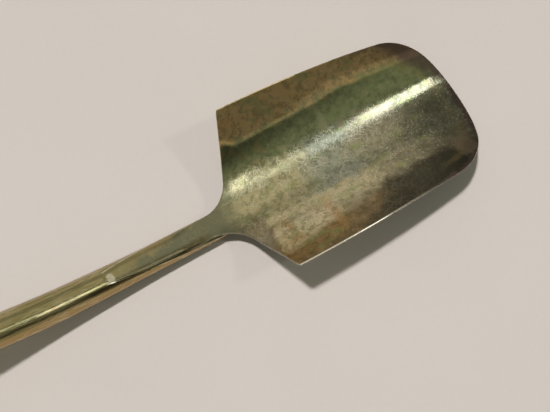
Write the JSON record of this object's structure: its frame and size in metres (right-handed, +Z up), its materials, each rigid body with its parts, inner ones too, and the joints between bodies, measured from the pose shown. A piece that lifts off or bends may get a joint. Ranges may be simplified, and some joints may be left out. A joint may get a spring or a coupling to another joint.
{
  "type": "bar spoon",
  "caption": "Bar spoon with a flat-tipped shovel bowl, a half-round neck running into a round cranked stem, and a flat muddler disc at the far end.",
  "frame": {"origin": "bottom centre of the whole spoon's box, on the table", "axes": "+X along the spoon towards the bowl's tip, +Z up with the bowl's hollow facing up, +Y to the left of someone looking towards the tip"},
  "size_m": [0.28, 0.028, 0.02],
  "materials": {
    "bowl_metal": "worn silver plate on brass, tarnished and scratched",
    "stem_metal": "worn silver plate on brass, polished by handling",
    "disc_metal": "worn silver plate on brass",
    "silver_solder": "dull silver solder"
  },
  "bodies": {
    "root": {"bowl": "bowl_metal", "stem": "stem_metal", "scarf_solder": "silver_solder", "muddler_disc": "disc_metal", "disc_solder": "silver_solder"}
  },
  "joints": []
}
